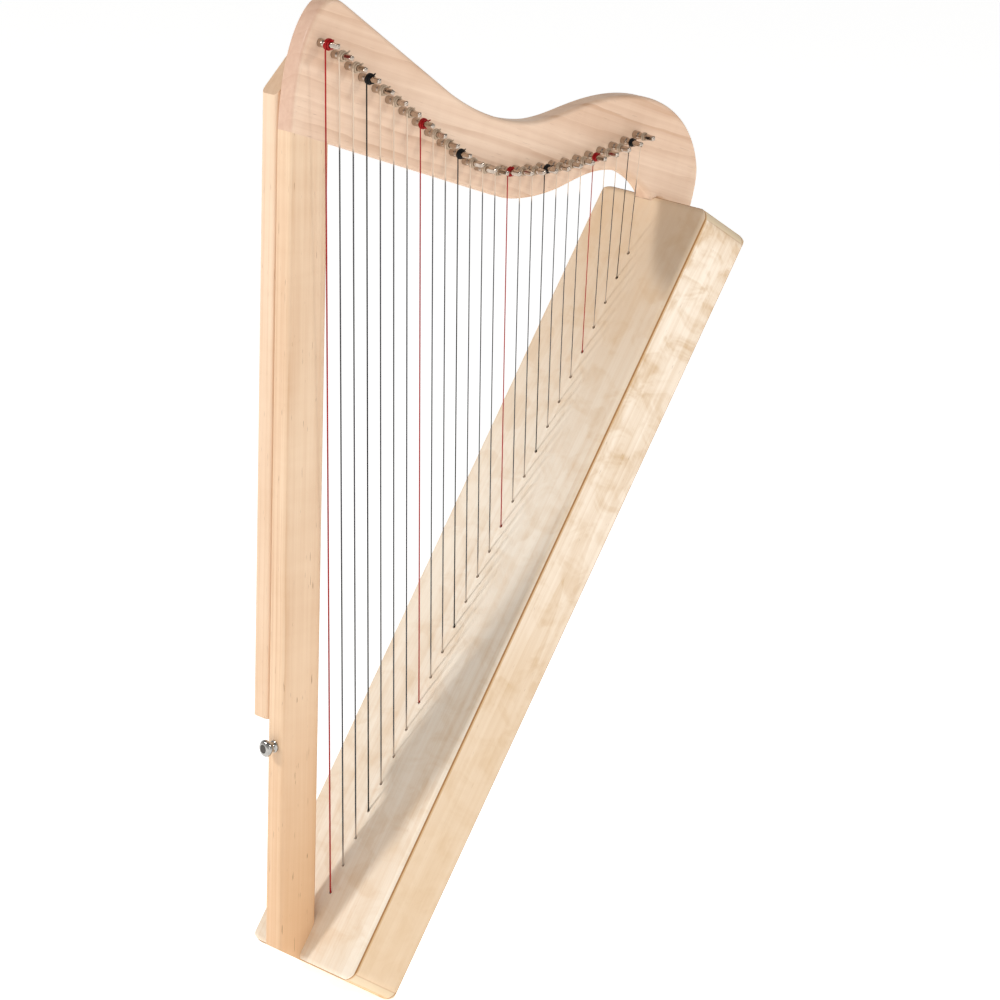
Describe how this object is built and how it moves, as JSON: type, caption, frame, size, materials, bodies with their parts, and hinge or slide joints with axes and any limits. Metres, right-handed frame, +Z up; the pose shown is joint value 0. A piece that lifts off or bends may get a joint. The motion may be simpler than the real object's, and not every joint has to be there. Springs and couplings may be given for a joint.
{
  "type": "lap harp",
  "caption": "Small lever-less lap harp with a slim leaning plywood soundbox, straight pillar, S-shaped neck, coloured nylon strings and tuning pins that turn.",
  "frame": {"origin": "middle of the soundbox's flat bottom end", "axes": "+Z up along the pillar, +X from the bass strings to the treble strings, the strings and pins on -Y"},
  "size_m": [0.4578, 0.13, 0.8254],
  "materials": {
    "maple_neck": "satin clear lacquer on maple",
    "maple_pillar": "satin clear lacquer on maple",
    "birch_ply": "satin clear lacquer on birch plywood",
    "birch_ply_side": "satin clear lacquer on birch plywood",
    "basswood": "planed, unfinished",
    "maple_rib": "planed, unfinished",
    "beech_dowel": "grooved beech dowel, glued",
    "red_nylon": "dyed nylon monofilament",
    "black_nylon": "dyed nylon monofilament",
    "clear_nylon": "clear nylon monofilament",
    "chrome_button": "polished chrome plate",
    "steel_screw": "zinc-plated steel",
    "pin_steel": "nickel-plated steel"
  },
  "bodies": {
    "frame": {"neck": "maple_neck", "pillar_post": "maple_pillar", "backing_strip": "maple_pillar", "soundboard": "birch_ply", "side_panel_near": "birch_ply_side", "side_panel_far": "birch_ply_side", "back_panel": "birch_ply", "top_block": "basswood", "tail_block": "basswood", "string_rib": "maple_rib", "soundboard_braces": "basswood", "front_linings": "basswood", "back_linings": "basswood", "back_braces": "basswood", "string_knots": "clear_nylon", "red_strings": "red_nylon", "black_strings": "black_nylon", "clear_strings": "clear_nylon", "strap_button": "chrome_button", "button_screw": "steel_screw", "neck_dowels": "beech_dowel", "head_dowels": "beech_dowel", "pillar_dowels": "beech_dowel"},
    "pin_01": {"tuning_pin_01": "pin_steel"},
    "pin_02": {"tuning_pin_02": "pin_steel"},
    "pin_03": {"tuning_pin_03": "pin_steel"},
    "pin_04": {"tuning_pin_04": "pin_steel"},
    "pin_05": {"tuning_pin_05": "pin_steel"},
    "pin_06": {"tuning_pin_06": "pin_steel"},
    "pin_07": {"tuning_pin_07": "pin_steel"},
    "pin_08": {"tuning_pin_08": "pin_steel"},
    "pin_09": {"tuning_pin_09": "pin_steel"},
    "pin_10": {"tuning_pin_10": "pin_steel"},
    "pin_11": {"tuning_pin_11": "pin_steel"},
    "pin_12": {"tuning_pin_12": "pin_steel"},
    "pin_13": {"tuning_pin_13": "pin_steel"},
    "pin_14": {"tuning_pin_14": "pin_steel"},
    "pin_15": {"tuning_pin_15": "pin_steel"},
    "pin_16": {"tuning_pin_16": "pin_steel"},
    "pin_17": {"tuning_pin_17": "pin_steel"},
    "pin_18": {"tuning_pin_18": "pin_steel"},
    "pin_19": {"tuning_pin_19": "pin_steel"},
    "pin_20": {"tuning_pin_20": "pin_steel"},
    "pin_21": {"tuning_pin_21": "pin_steel"},
    "pin_22": {"tuning_pin_22": "pin_steel"},
    "pin_23": {"tuning_pin_23": "pin_steel"},
    "pin_24": {"tuning_pin_24": "pin_steel"},
    "pin_25": {"tuning_pin_25": "pin_steel"},
    "pin_26": {"tuning_pin_26": "pin_steel"}
  },
  "joints": [
    {"name": "pin_01_turn", "type": "hinge", "parent": "frame", "child": "pin_01", "pos_m": [-0.01698, 0.0015, 0.77907], "axis": [0, -1, 0], "continuous": true},
    {"name": "pin_02_turn", "type": "hinge", "parent": "frame", "child": "pin_02", "pos_m": [-0.00278, 0.0015, 0.76857], "axis": [0, -1, 0], "continuous": true},
    {"name": "pin_03_turn", "type": "hinge", "parent": "frame", "child": "pin_03", "pos_m": [0.01142, 0.0015, 0.75807], "axis": [0, -1, 0], "continuous": true},
    {"name": "pin_04_turn", "type": "hinge", "parent": "frame", "child": "pin_04", "pos_m": [0.02562, 0.0015, 0.74759], "axis": [0, -1, 0], "continuous": true},
    {"name": "pin_05_turn", "type": "hinge", "parent": "frame", "child": "pin_05", "pos_m": [0.03982, 0.0015, 0.73711], "axis": [0, -1, 0], "continuous": true},
    {"name": "pin_06_turn", "type": "hinge", "parent": "frame", "child": "pin_06", "pos_m": [0.05402, 0.0015, 0.72664], "axis": [0, -1, 0], "continuous": true},
    {"name": "pin_07_turn", "type": "hinge", "parent": "frame", "child": "pin_07", "pos_m": [0.06822, 0.0015, 0.7162], "axis": [0, -1, 0], "continuous": true},
    {"name": "pin_08_turn", "type": "hinge", "parent": "frame", "child": "pin_08", "pos_m": [0.08242, 0.0015, 0.70578], "axis": [0, -1, 0], "continuous": true},
    {"name": "pin_09_turn", "type": "hinge", "parent": "frame", "child": "pin_09", "pos_m": [0.09593, 0.0015, 0.69592], "axis": [0, -1, 0], "continuous": true},
    {"name": "pin_10_turn", "type": "hinge", "parent": "frame", "child": "pin_10", "pos_m": [0.10944, 0.0015, 0.68617], "axis": [0, -1, 0], "continuous": true},
    {"name": "pin_11_turn", "type": "hinge", "parent": "frame", "child": "pin_11", "pos_m": [0.12295, 0.0015, 0.67667], "axis": [0, -1, 0], "continuous": true},
    {"name": "pin_12_turn", "type": "hinge", "parent": "frame", "child": "pin_12", "pos_m": [0.13646, 0.0015, 0.66796], "axis": [0, -1, 0], "continuous": true},
    {"name": "pin_13_turn", "type": "hinge", "parent": "frame", "child": "pin_13", "pos_m": [0.14997, 0.0015, 0.66157], "axis": [0, -1, 0], "continuous": true},
    {"name": "pin_14_turn", "type": "hinge", "parent": "frame", "child": "pin_14", "pos_m": [0.16349, 0.0015, 0.65805], "axis": [0, -1, 0], "continuous": true},
    {"name": "pin_15_turn", "type": "hinge", "parent": "frame", "child": "pin_15", "pos_m": [0.177, 0.0015, 0.65596], "axis": [0, -1, 0], "continuous": true},
    {"name": "pin_16_turn", "type": "hinge", "parent": "frame", "child": "pin_16", "pos_m": [0.19051, 0.0015, 0.65463], "axis": [0, -1, 0], "continuous": true},
    {"name": "pin_17_turn", "type": "hinge", "parent": "frame", "child": "pin_17", "pos_m": [0.20402, 0.0015, 0.65388], "axis": [0, -1, 0], "continuous": true},
    {"name": "pin_18_turn", "type": "hinge", "parent": "frame", "child": "pin_18", "pos_m": [0.21753, 0.0015, 0.65365], "axis": [0, -1, 0], "continuous": true},
    {"name": "pin_19_turn", "type": "hinge", "parent": "frame", "child": "pin_19", "pos_m": [0.23104, 0.0015, 0.6539], "axis": [0, -1, 0], "continuous": true},
    {"name": "pin_20_turn", "type": "hinge", "parent": "frame", "child": "pin_20", "pos_m": [0.24455, 0.0015, 0.65463], "axis": [0, -1, 0], "continuous": true},
    {"name": "pin_21_turn", "type": "hinge", "parent": "frame", "child": "pin_21", "pos_m": [0.25807, 0.0015, 0.65583], "axis": [0, -1, 0], "continuous": true},
    {"name": "pin_22_turn", "type": "hinge", "parent": "frame", "child": "pin_22", "pos_m": [0.27158, 0.0015, 0.6575], "axis": [0, -1, 0], "continuous": true},
    {"name": "pin_23_turn", "type": "hinge", "parent": "frame", "child": "pin_23", "pos_m": [0.28509, 0.0015, 0.65962], "axis": [0, -1, 0], "continuous": true},
    {"name": "pin_24_turn", "type": "hinge", "parent": "frame", "child": "pin_24", "pos_m": [0.2986, 0.0015, 0.66221], "axis": [0, -1, 0], "continuous": true},
    {"name": "pin_25_turn", "type": "hinge", "parent": "frame", "child": "pin_25", "pos_m": [0.31211, 0.0015, 0.66526], "axis": [0, -1, 0], "continuous": true},
    {"name": "pin_26_turn", "type": "hinge", "parent": "frame", "child": "pin_26", "pos_m": [0.32562, 0.0015, 0.66876], "axis": [0, -1, 0], "continuous": true}
  ]
}
